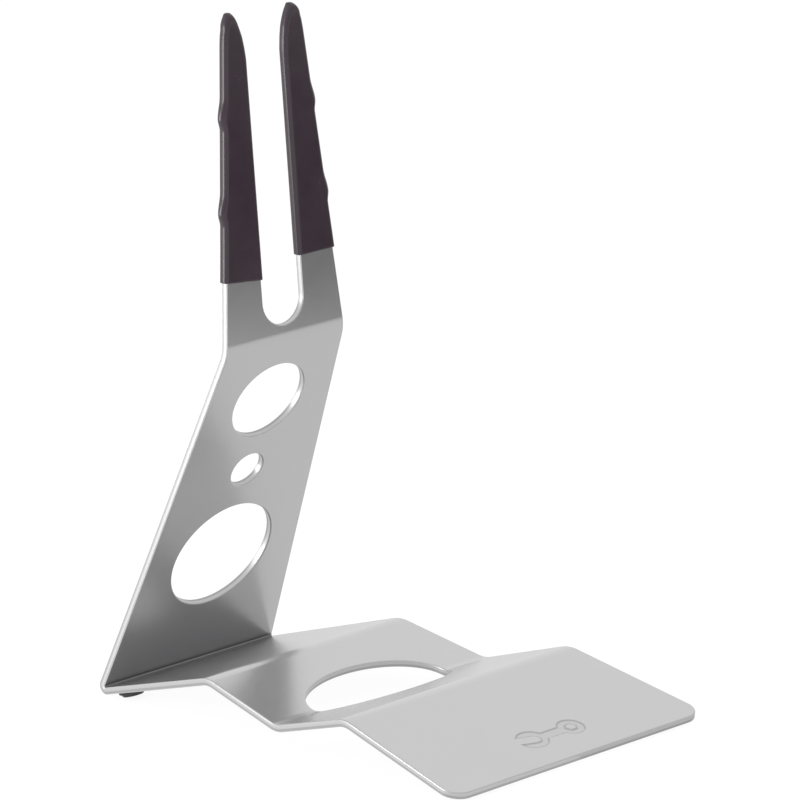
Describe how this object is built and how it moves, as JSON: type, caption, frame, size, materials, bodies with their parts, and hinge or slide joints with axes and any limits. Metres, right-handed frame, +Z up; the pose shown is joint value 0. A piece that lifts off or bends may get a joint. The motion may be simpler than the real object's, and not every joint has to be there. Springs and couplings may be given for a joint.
{
  "type": "bike repair stand",
  "caption": "Low floor stand for a bicycle: a zigzag-bent metal plate whose pierced upright ends in a fork with grippy sleeves, on rubber feet.",
  "frame": {"origin": "on the floor, in the stand's middle plane, near the middle of the base", "axes": "+Z up; X is the width, across the stand; the front edge of the base points to -Y and the upright stands at +Y"},
  "size_m": [0.1682, 0.3072, 0.3646],
  "materials": {
    "satin_metal": "satin",
    "sleeve_coating": "smooth matte dip coating",
    "foot_rubber": "matte"
  },
  "bodies": {
    "root": {"bent_plate": "satin_metal", "prong_sleeve_left": "sleeve_coating", "prong_sleeve_right": "sleeve_coating", "rear_foot_left": "foot_rubber", "rear_foot_right": "foot_rubber", "front_foot_left": "foot_rubber", "front_foot_right": "foot_rubber"}
  },
  "joints": []
}
